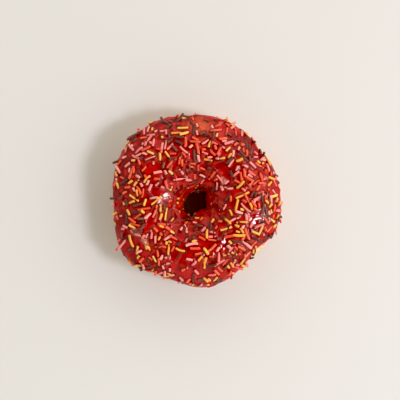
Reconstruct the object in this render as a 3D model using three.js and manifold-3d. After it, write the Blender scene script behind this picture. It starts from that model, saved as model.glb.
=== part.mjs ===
// A ring doughnut: a fried dough ring, a coat of icing over its upper half, and
// sugar strands set in the icing. Millimetres, +Z up. The ring stands on z = 0,
// and the origin is on the table under the middle of its outline.

import * as THREE from "three";
import { ParametricGeometry } from "three/addons/geometries/ParametricGeometry.js";
import { mergeVertices } from "three/addons/utils/BufferGeometryUtils.js";
import Module from "manifold-3d";

const TAU = 2 * Math.PI;
const DEGREES = Math.PI / 180;
const STEP = 1e-3; // either side of a place whose direction is taken

// ---- Dough: turn runs round the hole, sweep runs round the section, from the
// outer waist (0) over the crown (90 degrees) and down into the hole (180) ----
const DOUGH_RADIUS = 43.9; // mean outer radius at the waist
const HOLE_RADIUS = 7.2; // mean radius of the hole at the waist
const WAIST_LEVEL = 14.2; // height of the waist above the table
const CROWN_HEIGHT = 15.4; // from the waist up to the crown
const BASE_DEPTH = 15.2; // from the waist down, before the base is cut flat
const CROWN_FULLNESS = 2.15; // 2 is an ellipse, and more is squarer
const BASE_FULLNESS = 2.4;

// Waves round the ring: how many, how high as a share, and the turn they crest at.
const OUTLINE_WAVES = [
  { count: 1, height: 0.035, at: 165 },
  { count: 2, height: 0.007, at: 86 },
  { count: 3, height: 0.021, at: -1 },
  { count: 4, height: 0.006, at: 38 },
  { count: 5, height: 0.02, at: -4 },
  { count: 6, height: 0.012, at: -23 },
];
const HOLE_WAVES = [
  { count: 1, height: 0.2, at: 227 },
  { count: 2, height: 0.16, at: 39 },
  { count: 3, height: 0.04, at: 80 },
];
const CROWN_WAVES = [
  { count: 2, height: 0.03, at: 115 },
  { count: 3, height: 0.022, at: 20 },
  { count: 5, height: 0.012, at: 200 },
];

// Low lumps in the dough: waves round the ring times waves round the section,
// with their height and how far both are shifted, in radians.
const LUMPS = [
  { around: 4, across: 2, height: 0.35, shift: 0.9 },
  { around: 7, across: 3, height: 0.28, shift: 2.6 },
  { around: 11, across: 4, height: 0.15, shift: 4.2 },
];

// ---- Icing ----
const CLEARANCE = 0.45; // between the dough and the icing
const ICING_THICKNESS = 1.15;
const ICING_SPAN = 50; // length of the coat over the section
const ICING_HOLD = 3; // how soon its lines straighten away from a wavy edge
const LIP = 2; // width over which the coat's edge rounds down
const LIP_STEP = 0.8; // width of the first row of faces at an edge
const OUTER_EDGE = 3; // sweep of the coat's outer edge, in degrees
const INNER_EDGE = 171; // sweep of its edge in the hole
const OUTER_EDGE_WAVES = [
  { count: 3, height: 3, at: 100 },
  { count: 5, height: 2.5, at: 20 },
  { count: 8, height: 2.5, at: 50 },
  { count: 13, height: 1.5, at: 10 },
];
const INNER_EDGE_WAVES = [
  { count: 3, height: 4, at: 70 },
  { count: 5, height: 3, at: 150 },
];
// Places where the outer edge stops short, and the bare dough swells out.
const BARE_SWELL = 1.5;
const BARE_EDGES = [
  { at: 42, width: 15, rise: 23 },
  { at: 322, width: 14, rise: 22 },
  { at: 248, width: 17, rise: 21 },
];

// ---- Sugar strands, longest first ----
const STRAND_RADIUS = 0.66;
const STRAND_LONGEST = 9;
const STRAND_SHORTEST = 1.9;
const STRAND_SHORTNESS = 0.27; // 1 spreads the lengths evenly, and less shortens them
const STRAND_COUNT = 900; // dropped on the whole coat, where about half find a place
const STRANDS_FUSED = 160; // the longest that stay, which are solid here
const STRAND_BOW = 0.1; // most that a strand is bent sideways, as a share of its length
const STRAND_SIT = 0.22; // height of a strand's axis over the icing
const STRAND_APART = 1.22; // closest that two axes come, since they press together
const STRAND_STEP = 0.7; // spacing of the points tested for touching
const STRAND_TRIES = 12;
const STRAND_MARGIN = 3.5; // degrees of sweep kept clear inside each edge
const STRAND_HIGHEST = 34.2; // level that none stands above
const CLIMB_FROM = 0.62; // least share of a strand before it crosses another
const CLIMB_DIP = 0.35; // how far its low end sinks in
const STAND_BELOW = 45; // sweep below which strands stand off, in degrees
const STAND_OFF = 2.6; // most that an end stands off
const STAYING = 0.56; // chance that a strand stays on level icing
const THICK_FROM = 29; // radius inside which fewer and fewer stay
const THINNING = 2.8; // how fast they thin out towards the hole
const STEEP_LOSS = 2; // how fast they thin out on steep icing
const STAYING_WAVES = [{ count: 1, height: 0.22, at: 20 }];
const SEED = 7219;

// ---- Facets ----
const COLUMNS = 60; // round the ring
const DOUGH_ROWS = 18; // round the dough's section
const ICING_ROWS_OVER = 13;
const ICING_ROWS_UNDER = 11;
const STRAND_SIDES = 5;
const STRAND_BENDS_FROM = 6.2; // length from which a strand has a bend in the middle

// Places with more or fewer strands: x, y and radius on plan, and the share more.
const STRAND_PATCHES = [
  { x: 3, y: 38.5, radius: 6.5, more: -0.97 },
  { x: -8.5, y: -34, radius: 7.5, more: -0.95 },
  { x: -25, y: -11.5, radius: 5, more: -0.9 },
  { x: -11.5, y: 5, radius: 4, more: -0.75 },
  { x: -22, y: 16, radius: 4.5, more: -0.85 },
  { x: 15, y: 16.5, radius: 5.5, more: -0.95 },
  { x: -34.5, y: -22, radius: 4, more: -0.75 },
  { x: -40, y: -0.5, radius: 4, more: -0.8 },
  { x: 8, y: -21, radius: 3, more: -0.6 },
  { x: 9, y: -1.5, radius: 6, more: -0.85 },
  { x: 31, y: -8.5, radius: 3.6, more: -0.97 },
  { x: -17.8, y: 3.5, radius: 3.2, more: -0.95 },
  { x: 13.6, y: -22, radius: 2.8, more: -0.9 },
  { x: -4, y: -27.5, radius: 3.5, more: -0.8 },
  { x: 0, y: 9, radius: 4, more: 2 },
  { x: 29, y: -5, radius: 9, more: 0.7 },
  { x: 36, y: -19, radius: 5, more: 0.5 },
  { x: -11, y: 31, radius: 6, more: 0.8 },
  { x: 36, y: 17, radius: 5, more: 0.5 },
];

const waves = (list, turn) =>
  list.reduce(
    (sum, { count, height, at }) =>
      sum + height * Math.cos(count * (turn - at * DEGREES)),
    0,
  );

const signedPower = (value, power) =>
  Math.sign(value) * Math.abs(value) ** power;

// How much of each bare edge there is at a turn, times what it is measured by.
const bareEdges = (turn, measure) =>
  BARE_EDGES.reduce((sum, edge) => {
    const angle = turn - edge.at * DEGREES;
    const away = Math.atan2(Math.sin(angle), Math.cos(angle));
    const share = Math.exp(-((away / (edge.width * DEGREES)) ** 2));
    return sum + share * measure(edge);
  }, 0);

// The section's middle, half width and height at a turn, above or below the waist.
function sectionAt(turn, above) {
  const swell = bareEdges(turn, () => BARE_SWELL);
  const outer = DOUGH_RADIUS * (1 + waves(OUTLINE_WAVES, turn)) + swell;
  const hole = HOLE_RADIUS * (1 + waves(HOLE_WAVES, turn));
  return {
    middle: (outer + hole) / 2,
    halfWidth: (outer - hole) / 2,
    height: above ? CROWN_HEIGHT * (1 + waves(CROWN_WAVES, turn)) : BASE_DEPTH,
    fullness: above ? CROWN_FULLNESS : BASE_FULLNESS,
  };
}

function smoothPoint(turn, sweep) {
  const section = sectionAt(turn, Math.sin(sweep) >= 0);
  const power = 2 / section.fullness;
  const reach =
    section.middle + section.halfWidth * signedPower(Math.cos(sweep), power);
  const level =
    WAIST_LEVEL + section.height * signedPower(Math.sin(sweep), power);
  return new THREE.Vector3(
    reach * Math.cos(turn),
    reach * Math.sin(turn),
    level,
  );
}

// The directions round the ring, up the section and out of the surface.
function frameAt(turn, sweep) {
  const round = smoothPoint(turn + STEP, sweep)
    .sub(smoothPoint(turn - STEP, sweep))
    .normalize();
  const up = smoothPoint(turn, sweep + STEP)
    .sub(smoothPoint(turn, sweep - STEP))
    .normalize();
  return { round, up, out: round.clone().cross(up).normalize() };
}

const lump = (turn, sweep) =>
  LUMPS.reduce(
    (sum, { around, across, height, shift }) =>
      sum +
      height *
        Math.sin(around * turn + shift) *
        Math.cos(across * sweep + shift),
    0,
  );

// A point that stands lift above the dough.
function surfacePoint(turn, sweep, lift) {
  const { out } = frameAt(turn, sweep);
  return smoothPoint(turn, sweep).addScaledVector(
    out,
    lump(turn, sweep) + lift,
  );
}

// The turn and sweep of the surface under or over a point near it.
function coordinatesOf({ x, y, z }) {
  const turn = Math.atan2(y, x);
  const { middle, halfWidth, height, fullness } = sectionAt(
    turn,
    z >= WAIST_LEVEL,
  );
  const across = (Math.hypot(x, y) - middle) / halfWidth;
  const up = (z - WAIST_LEVEL) / height;
  let sweep = Math.atan2(
    signedPower(up, fullness / 2),
    signedPower(across, fullness / 2),
  );
  if (sweep < -TAU / 4) sweep += TAU;
  return { turn, sweep };
}

function outerEdge(turn) {
  const rise = bareEdges(turn, (edge) => edge.rise);
  return (OUTER_EDGE + waves(OUTER_EDGE_WAVES, turn) + rise) * DEGREES;
}

const innerEdge = (turn) =>
  (INNER_EDGE + waves(INNER_EDGE_WAVES, turn)) * DEGREES;

const mix = THREE.MathUtils.lerp;

// The sweep at a share of the way from the coat's outer to its inner edge.
function icingSweep(turn, share) {
  const outer = outerEdge(turn) - OUTER_EDGE * DEGREES;
  const inner = innerEdge(turn) - INNER_EDGE * DEGREES;
  return (
    mix(OUTER_EDGE, INNER_EDGE, share) * DEGREES +
    outer * (1 - share) ** ICING_HOLD +
    inner * share ** ICING_HOLD
  );
}

// Height of the coat's top over the dough. It rounds down at the edges.
function icingTop(turn, sweep) {
  const perAngle = ICING_SPAN / ((INNER_EDGE - OUTER_EDGE) * DEGREES);
  const fromEdge =
    perAngle * Math.min(sweep - outerEdge(turn), innerEdge(turn) - sweep);
  const climb = 1 - THREE.MathUtils.clamp(fromEdge / LIP, 0, 1);
  return CLEARANCE + ICING_THICKNESS * Math.sqrt(1 - climb * climb);
}

// ---- Solids ----
const wasm = await Module();
wasm.setup();

function toSolid(geometry) {
  const bare = geometry.clone();
  bare.deleteAttribute("normal");
  bare.deleteAttribute("uv");
  const merged = mergeVertices(bare, 1e-4);
  return new wasm.Manifold(
    new wasm.Mesh({
      numProp: 3,
      vertProperties: new Float32Array(merged.attributes.position.array),
      triVerts: new Uint32Array(merged.index.array),
    }),
  );
}

function toGeometry(solid) {
  const { vertProperties, triVerts } = solid.getMesh();
  const geometry = new THREE.BufferGeometry()
    .setAttribute("position", new THREE.BufferAttribute(vertProperties, 3))
    .setIndex(new THREE.BufferAttribute(triVerts, 1));
  geometry.computeVertexNormals();
  return geometry;
}

function doughSolid() {
  const ring = toSolid(
    new ParametricGeometry(
      (u, v, target) => target.copy(surfacePoint(u * TAU, v * TAU, 0)),
      COLUMNS,
      DOUGH_ROWS,
    ),
  );
  const side = 4 * DOUGH_RADIUS;
  const under = new THREE.BoxGeometry(side, side, side).translate(
    0,
    0,
    -side / 2,
  );
  return ring.subtract(toSolid(under));
}

// Shares of the way over the coat, with a narrow row of faces at each edge.
function shareAt(row, rows) {
  const lip = LIP_STEP / ICING_SPAN;
  if (row <= 0) return 0;
  if (row >= rows) return 1;
  return mix(lip, 1 - lip, (row - 1) / (rows - 2));
}

// The coat's loop goes over the top from the outer edge and back underneath.
function icingSolid() {
  const rows = ICING_ROWS_OVER + ICING_ROWS_UNDER;
  return toSolid(
    new ParametricGeometry(
      (u, v, target) => {
        const row = Math.round(v * rows);
        const over = row <= ICING_ROWS_OVER;
        const share = over
          ? shareAt(row, ICING_ROWS_OVER)
          : shareAt(rows - row, ICING_ROWS_UNDER);
        const turn = u * TAU;
        const sweep = icingSweep(turn, share);
        const lift = over ? icingTop(turn, sweep) : CLEARANCE;
        target.copy(surfacePoint(turn, sweep, lift));
      },
      COLUMNS,
      rows,
    ),
  );
}

// Park and Miller's generator.
function randomSource(seed) {
  let state = seed;
  return () => {
    state = (state * 16807) % 2147483647;
    return state / 2147483647;
  };
}

// How likely a strand is to stay where it falls: fewer do near the hole and on
// steep icing, whose upright share is small.
function staying({ x, y }, turn, upright) {
  const spread = Math.min(1, Math.hypot(x, y) / THICK_FROM) ** THINNING;
  const level = STAYING * (1 + waves(STAYING_WAVES, turn));
  return STRAND_PATCHES.reduce((chance, patch) => {
    const away = Math.hypot(x - patch.x, y - patch.y) / patch.radius;
    return chance * (1 + patch.more * Math.exp(-(away ** 4)));
  }, level * spread * upright ** STEEP_LOSS);
}

// A strand's axis runs through its start, middle and end, as a parabola.
function axisPoint([start, middle, end], share) {
  const halfway = start.clone().lerp(end, 0.5);
  return start
    .clone()
    .lerp(end, share)
    .addScaledVector(middle.clone().sub(halfway), 4 * share * (1 - share));
}

function testPoints(axis, length) {
  const steps = Math.max(2, Math.ceil(length / STRAND_STEP));
  return Array.from({ length: steps + 1 }, (_, i) =>
    axisPoint(axis, i / steps),
  );
}

// Where on a row of points each laid strand that it touches is nearest, as a
// share of the way along the row.
function touches(points, laid) {
  const farthest = 1.5 * STRAND_LONGEST + STRAND_APART;
  const places = [];
  for (const strand of laid) {
    if (strand.axis[1].distanceTo(points[0]) > farthest) continue;
    let nearest = STRAND_APART;
    let place = -1;
    points.forEach((point, i) => {
      for (const other of strand.points) {
        const apart = point.distanceTo(other);
        if (apart < nearest) {
          nearest = apart;
          place = i / (points.length - 1);
        }
      }
    });
    if (place >= 0) places.push(place);
  }
  return places;
}

// Sets a point on the icing, rise above where a strand's axis rests. Gives null
// where that is off the coat.
function onIcing(point, rise) {
  const { turn, sweep } = coordinatesOf(point);
  const margin = STRAND_MARGIN * DEGREES;
  if (sweep < outerEdge(turn) + margin || sweep > innerEdge(turn) - margin)
    return null;
  return surfacePoint(turn, sweep, icingTop(turn, sweep) + STRAND_SIT + rise);
}

// Sets a strand's start, middle and end down on the icing, where its end may
// stand off. Where it touches one that lies there, it climbs over it instead. Its
// other end sinks in.
function settle(start, middle, end, length, laid, stand) {
  const set = (riseStart, riseEnd) => [
    onIcing(start, riseStart),
    onIcing(middle, (riseStart + riseEnd) / 2),
    onIcing(end, riseEnd),
  ];
  let axis = stand > 0 ? set(-CLIMB_DIP, stand) : set(0, 0);
  if (axis.includes(null)) return null;
  let points = testPoints(axis, length);
  const places = touches(points, laid);
  if (places.length > 0) {
    const share = Math.max(places[0], 1 - places[0]);
    if (places.length > 1 || share < CLIMB_FROM) return null;
    const rise = (STRAND_APART + CLIMB_DIP) / share - CLIMB_DIP;
    axis = places[0] > 0.5 ? set(-CLIMB_DIP, rise) : set(rise, -CLIMB_DIP);
    points = testPoints(axis, length);
    if (touches(points, laid).length > 0) return null;
  }
  const top = Math.max(...axis.map(({ z }) => z)) + STRAND_RADIUS;
  return top > STRAND_HIGHEST ? null : { axis, points, length };
}

// Drops a strand of a length somewhere on the icing. Gives null where it can't
// stay. Six numbers are drawn, whatever comes of it.
function dropStrand(draw, length, laid) {
  const turn = TAU * draw();
  const share = draw();
  const angle = TAU * draw();
  const chance = draw();
  const bow = STRAND_BOW * (2 * draw() - 1) ** 3;
  const lean = draw() ** 2;
  const sweep = icingSweep(turn, share);
  const middle = surfacePoint(turn, sweep, icingTop(turn, sweep));
  const { round, up, out } = frameAt(turn, sweep);
  if (chance > staying(middle, turn, out.z)) return null;
  const along = round
    .clone()
    .multiplyScalar(Math.cos(angle))
    .addScaledVector(up, Math.sin(angle));
  const aside = up
    .multiplyScalar(Math.cos(angle))
    .addScaledVector(round, -Math.sin(angle));
  const start = middle.clone().addScaledVector(along, -length / 2);
  const end = middle.clone().addScaledVector(along, length / 2);
  middle.addScaledVector(aside, bow * length);
  const stand = sweep < STAND_BELOW * DEGREES ? STAND_OFF * lean : 0;
  return settle(start, middle, end, length, laid, stand);
}

function layStrands() {
  const draw = randomSource(SEED);
  const laid = [];
  for (let k = 0; laid.length < STRANDS_FUSED; k++) {
    const share = ((k + 0.5) / STRAND_COUNT) ** STRAND_SHORTNESS;
    const length = mix(STRAND_LONGEST, STRAND_SHORTEST, share);
    for (let attempt = 0; attempt < STRAND_TRIES; attempt++) {
      const strand = dropStrand(draw, length, laid);
      if (strand) {
        laid.push(strand);
        break;
      }
    }
  }
  return laid;
}

// Bends a straight rod on to a strand's axis, with a flat side down.
function strandSolid({ axis, length }) {
  const { turn, sweep } = coordinatesOf(axis[1]);
  const { out: upright } = frameAt(turn, sweep);
  const rod = new THREE.CylinderGeometry(
    STRAND_RADIUS,
    STRAND_RADIUS,
    length,
    STRAND_SIDES,
    length > STRAND_BENDS_FROM ? 2 : 1,
  );
  const position = rod.getAttribute("position");
  for (let i = 0; i < position.count; i++) {
    const share = position.getY(i) / length + 0.5;
    const along = axisPoint(axis, share + STEP)
      .sub(axisPoint(axis, share - STEP))
      .normalize();
    const across = along.clone().cross(upright).normalize();
    const out = across.clone().cross(along);
    const point = axisPoint(axis, share)
      .addScaledVector(across, position.getX(i))
      .addScaledVector(out, position.getZ(i));
    position.setXYZ(i, point.x, point.y, point.z);
  }
  return toSolid(rod);
}

// ---- Assembly ----
function piece(name, solid, color, roughness) {
  const material = new THREE.MeshStandardMaterial({
    color,
    roughness,
    metalness: 0,
  });
  const mesh = new THREE.Mesh(toGeometry(solid), material);
  mesh.name = name;
  return mesh;
}

const icedSolid = layStrands().reduce(
  (solid, strand) => solid.add(strandSolid(strand)),
  icingSolid(),
);

const doughnut = new THREE.Group();
doughnut.add(piece("dough_ring", doughSolid(), "#c48545", 0.75));
doughnut.add(piece("icing", icedSolid, "#9e1712", 0.2));

export default doughnut;
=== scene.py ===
"""A ring doughnut with red icing and sugar strands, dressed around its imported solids.

Shapes are worked out in millimetres, in the frame of the solids, and turned into
metres when a mesh is made. A place on the ring is given by its turn, the angle
round the hole, and its sweep, the angle round the ring's section: 0 at the outer
waist, a quarter turn at the crown, half a turn in the hole.
"""

import logging
import math
from collections.abc import Sequence
from dataclasses import dataclass
from enum import Enum

import bpy
import numpy as np
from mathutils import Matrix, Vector, noise

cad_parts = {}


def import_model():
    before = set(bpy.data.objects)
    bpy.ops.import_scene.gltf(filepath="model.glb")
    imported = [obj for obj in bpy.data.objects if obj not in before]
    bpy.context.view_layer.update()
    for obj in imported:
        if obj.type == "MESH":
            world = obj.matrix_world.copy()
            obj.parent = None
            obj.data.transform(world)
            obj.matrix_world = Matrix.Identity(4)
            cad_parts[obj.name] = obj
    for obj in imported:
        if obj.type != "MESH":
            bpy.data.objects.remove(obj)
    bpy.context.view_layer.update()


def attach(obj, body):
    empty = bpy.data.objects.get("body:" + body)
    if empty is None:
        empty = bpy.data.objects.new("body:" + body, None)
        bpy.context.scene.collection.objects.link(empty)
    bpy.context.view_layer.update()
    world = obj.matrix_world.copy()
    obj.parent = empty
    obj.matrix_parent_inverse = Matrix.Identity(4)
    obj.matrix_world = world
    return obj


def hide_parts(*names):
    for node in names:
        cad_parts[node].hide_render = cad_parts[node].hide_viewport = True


LOG = logging.getLogger("doughnut")
MM = 0.001
TAU = 2 * math.pi
STEP = 1e-3  # either side of a place whose direction is taken
FADED = 4  # widths away from a place, where nothing is left of a fade
MIX_SHARE, MIX_FIRST, MIX_SECOND, MIX_RESULT = 0, 6, 7, 2  # a mix node's colour sockets

Array = np.ndarray
Colour = tuple[float, float, float, float]
Socket = bpy.types.NodeSocket


# ---- Small tools ----


def paint(red: int, green: int, blue: int) -> Colour:
    """Turns a colour on the 0 to 255 scale of a screen into the light it stands for.

    Args:
        red: Red on the screen's scale.
        green: Green on the screen's scale.
        blue: Blue on the screen's scale.

    Returns:
        The linear colour, with full opacity.
    """

    def linear(value: int) -> float:
        """Undoes the screen's curve for one channel."""
        share = value / 255
        return share / 12.92 if share <= 0.04045 else ((share + 0.055) / 1.055) ** 2.4

    return linear(red), linear(green), linear(blue), 1.0


def mix(low: Array | float, high: Array | float, share: Array | float) -> Array | float:
    """Goes a share of the way from low to high."""
    return (1 - share) * low + share * high


def smooth(share: Array) -> Array:
    """Eases a share from 0 to 1, and holds it there outside."""
    held = np.clip(share, 0, 1)
    return held * held * (3 - 2 * held)


def fade(away: Array, width: float) -> Array:
    """Gives 1 at a distance of 0, and less and less over a width."""
    return np.exp(-((away / width) ** 2))


def signed_power(value: Array, power: float) -> Array:
    """Raises the size of a value to a power and keeps its sign."""
    return np.sign(value) * np.abs(value) ** power


def unit(vectors: Array) -> Array:
    """Scales vectors to length 1."""
    return vectors / np.linalg.norm(vectors, axis=-1, keepdims=True)


def crumple(points: Array, size: float, seed: float) -> Array:
    """Gives smooth noise, about -1 to 1, at points.

    Args:
        points: Places in millimetres, in the last axis.
        size: Width of a lump, in millimetres.
        seed: Shifts the noise, so that two calls differ.

    Returns:
        The noise, with the shape of points less its last axis.
    """
    flat = points.reshape(-1, 3) / size + seed
    values = [noise.noise(Vector(place)) for place in flat]
    return np.array(values).reshape(points.shape[:-1])


def make_piece(
    name: str, points: Array, faces: Sequence, material: bpy.types.Material
) -> bpy.types.Object:
    """Makes a smooth mesh object.

    Args:
        name: The piece's name.
        points: Its vertices, in millimetres.
        faces: Its faces, each a row of vertex numbers.
        material: Its material.

    Returns:
        The object, linked to the scene.
    """
    mesh = bpy.data.meshes.new(name)
    mesh.from_pydata((points * MM).tolist(), [], faces)
    mesh.polygons.foreach_set("use_smooth", [True] * len(mesh.polygons))
    mesh.materials.append(material)
    mesh.update()
    piece = bpy.data.objects.new(name, mesh)
    bpy.context.scene.collection.objects.link(piece)
    return piece


def mark(piece: bpy.types.Object, name: str, values: Array) -> None:
    """Stores one number a vertex on a piece, for its material.

    Args:
        piece: The piece.
        name: The attribute's name.
        values: The numbers, in the order of the vertices.
    """
    attribute = piece.data.attributes.new(name, "FLOAT", "POINT")
    attribute.data.foreach_set("value", values.ravel().astype(np.float32))


def closed_grid(rows: int, columns: int) -> list[tuple[int, int, int, int]]:
    """Gives the faces of a grid that closes on itself both ways.

    Args:
        rows: Points round the section.
        columns: Points round the ring.

    Returns:
        Faces that point out where rows climb and columns run anticlockwise.
    """
    row, column = np.meshgrid(np.arange(rows), np.arange(columns), indexing="ij")
    after = (row + 1) % rows
    beside = (column + 1) % columns
    corners = [
        row * columns + column,
        row * columns + beside,
        after * columns + beside,
        after * columns + column,
    ]
    return np.stack([corner.ravel() for corner in corners], axis=1).tolist()


class Draw:
    """Park and Miller's random numbers, the same on every run."""

    FACTOR = 16807
    MODULUS = 2147483647

    def __init__(self, seed: int) -> None:
        """Starts at a seed."""
        self.state = seed

    def __call__(self) -> float:
        """Gives the next number between 0 and 1."""
        self.state = self.state * self.FACTOR % self.MODULUS
        return self.state / self.MODULUS

    def between(self, low: float, high: float) -> float:
        """Gives the next number between two limits."""
        return mix(low, high, self())


# ---- The form of the dough and its icing ----


@dataclass(frozen=True)
class Wave:
    """A wave round the ring.

    Attributes:
        count: Crests round the ring.
        height: Height of a crest.
        crest: Where a crest is, in degrees.
    """

    count: int
    height: float
    crest: float


def wave_sum(waves: Sequence[Wave], turn: Array) -> Array:
    """Adds up waves round the ring.

    Args:
        waves: The waves.
        turn: Where round the ring, in radians.

    Returns:
        The sum of their heights there.
    """
    total = np.zeros_like(turn, dtype=float)
    for wave in waves:
        total = total + wave.height * np.cos(wave.count * (turn - math.radians(wave.crest)))
    return total


@dataclass(frozen=True)
class Lump:
    """Low lumps: waves round the ring times waves round the section.

    Attributes:
        around: Crests round the ring.
        across: Crests round the section.
        height: Height of a crest, in millimetres.
        shift: How far both are shifted, in radians.
    """

    around: int
    across: int
    height: float
    shift: float


@dataclass(frozen=True)
class BareEdge:
    """A place where the icing stops short, and the bare dough swells out.

    Attributes:
        crest: Its middle, in degrees round the ring.
        width: Its half width, in degrees round the ring.
        rise: How far the icing's edge is higher there, in degrees of sweep.
    """

    crest: float
    width: float
    rise: float

    def share(self, turn: Array) -> Array:
        """Gives how much of this place there is at a turn.

        Args:
            turn: Where round the ring, in radians.

        Returns:
            Up to 1 at its middle.
        """
        angle = turn - math.radians(self.crest)
        away = np.arctan2(np.sin(angle), np.cos(angle))
        return fade(away, math.radians(self.width))


BARE_EDGES = (BareEdge(42, 15, 23), BareEdge(322, 14, 22), BareEdge(248, 17, 21))


@dataclass(frozen=True)
class RingForm:
    """The dough ring's form, in millimetres, as its solid has it.

    Attributes:
        outer_radius: Mean outer radius at the waist.
        hole_radius: Mean radius of the hole at the waist.
        waist_level: Height of the waist above the table.
        crown_height: From the waist up to the crown.
        base_depth: From the waist down, before the base is flat.
        crown_fullness: Squareness of the section above the waist.
        base_fullness: Squareness of the section below the waist.
        bare_swell: How far a bare edge swells out.
        outline_waves: Waves of the outline, as shares of the outer radius.
        hole_waves: Waves of the hole, as shares of its radius.
        crown_waves: Waves of the crown, as shares of its height.
        lumps: Low lumps all over.
    """

    outer_radius: float = 43.9
    hole_radius: float = 7.2
    waist_level: float = 14.2
    crown_height: float = 15.4
    base_depth: float = 15.2
    crown_fullness: float = 2.15
    base_fullness: float = 2.4
    bare_swell: float = 1.5
    outline_waves: tuple[Wave, ...] = (
        Wave(1, 0.035, 165),
        Wave(2, 0.007, 86),
        Wave(3, 0.021, -1),
        Wave(4, 0.006, 38),
        Wave(5, 0.02, -4),
        Wave(6, 0.012, -23),
    )
    hole_waves: tuple[Wave, ...] = (Wave(1, 0.2, 227), Wave(2, 0.16, 39), Wave(3, 0.04, 80))
    crown_waves: tuple[Wave, ...] = (Wave(2, 0.03, 115), Wave(3, 0.022, 20), Wave(5, 0.012, 200))
    lumps: tuple[Lump, ...] = (
        Lump(4, 2, 0.35, 0.9),
        Lump(7, 3, 0.28, 2.6),
        Lump(11, 4, 0.15, 4.2),
    )

    def section(self, turn: Array, above: Array) -> tuple[Array, Array, Array, Array]:
        """Gives the section's sizes at a turn.

        Args:
            turn: Where round the ring, in radians.
            above: True above the waist.

        Returns:
            The section's middle radius, half width, height and fullness.
        """
        swell = sum(edge.share(turn) for edge in BARE_EDGES) * self.bare_swell
        outer = self.outer_radius * (1 + wave_sum(self.outline_waves, turn)) + swell
        hole = self.hole_radius * (1 + wave_sum(self.hole_waves, turn))
        crown = self.crown_height * (1 + wave_sum(self.crown_waves, turn))
        height = np.where(above, crown, self.base_depth)
        fullness = np.where(above, self.crown_fullness, self.base_fullness)
        return (outer + hole) / 2, (outer - hole) / 2, height, fullness

    def even_surface(self, turn: Array, sweep: Array) -> Array:
        """Gives points of the ring without its lumps.

        Args:
            turn: Where round the ring, in radians.
            sweep: Where round the section, in radians.

        Returns:
            The points, in millimetres.
        """
        middle, half_width, height, fullness = self.section(turn, np.sin(sweep) >= 0)
        reach = middle + half_width * signed_power(np.cos(sweep), 2 / fullness)
        level = self.waist_level + height * signed_power(np.sin(sweep), 2 / fullness)
        return np.stack([reach * np.cos(turn), reach * np.sin(turn), level], axis=-1)

    def directions(self, turn: Array, sweep: Array) -> tuple[Array, Array, Array]:
        """Gives the surface's directions at a place.

        Args:
            turn: Where round the ring, in radians.
            sweep: Where round the section, in radians.

        Returns:
            The directions round the ring, up the section and out of the surface.
        """
        around = unit(
            self.even_surface(turn + STEP, sweep) - self.even_surface(turn - STEP, sweep)
        )
        upward = unit(
            self.even_surface(turn, sweep + STEP) - self.even_surface(turn, sweep - STEP)
        )
        return around, upward, unit(np.cross(around, upward))

    def lump_height(self, turn: Array, sweep: Array) -> Array:
        """Gives how far the lumps lift the surface.

        Args:
            turn: Where round the ring, in radians.
            sweep: Where round the section, in radians.

        Returns:
            The lift, in millimetres.
        """
        total = 0.0
        for lump in self.lumps:
            around = np.sin(lump.around * turn + lump.shift)
            total = total + lump.height * around * np.cos(lump.across * sweep + lump.shift)
        return total

    def surface(self, turn: Array, sweep: Array, lift: Array | float = 0.0) -> Array:
        """Gives points that stand over the dough.

        Args:
            turn: Where round the ring, in radians.
            sweep: Where round the section, in radians.
            lift: How far out of the surface.

        Returns:
            The points, in millimetres.
        """
        out = self.directions(turn, sweep)[2]
        height = np.asarray(self.lump_height(turn, sweep) + lift)
        return self.even_surface(turn, sweep) + out * height[..., np.newaxis]

    def coordinates(self, points: Array) -> tuple[Array, Array]:
        """Finds where on the surface points near it are.

        Args:
            points: Places in millimetres.

        Returns:
            Their turn and sweep, in radians.
        """
        turn = np.arctan2(points[..., 1], points[..., 0])
        above = points[..., 2] >= self.waist_level
        middle, half_width, height, fullness = self.section(turn, above)
        across = (np.hypot(points[..., 0], points[..., 1]) - middle) / half_width
        upright = (points[..., 2] - self.waist_level) / height
        sweep = np.arctan2(
            signed_power(upright, fullness / 2), signed_power(across, fullness / 2)
        )
        return turn, np.where(sweep < -TAU / 4, sweep + TAU, sweep)


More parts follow.
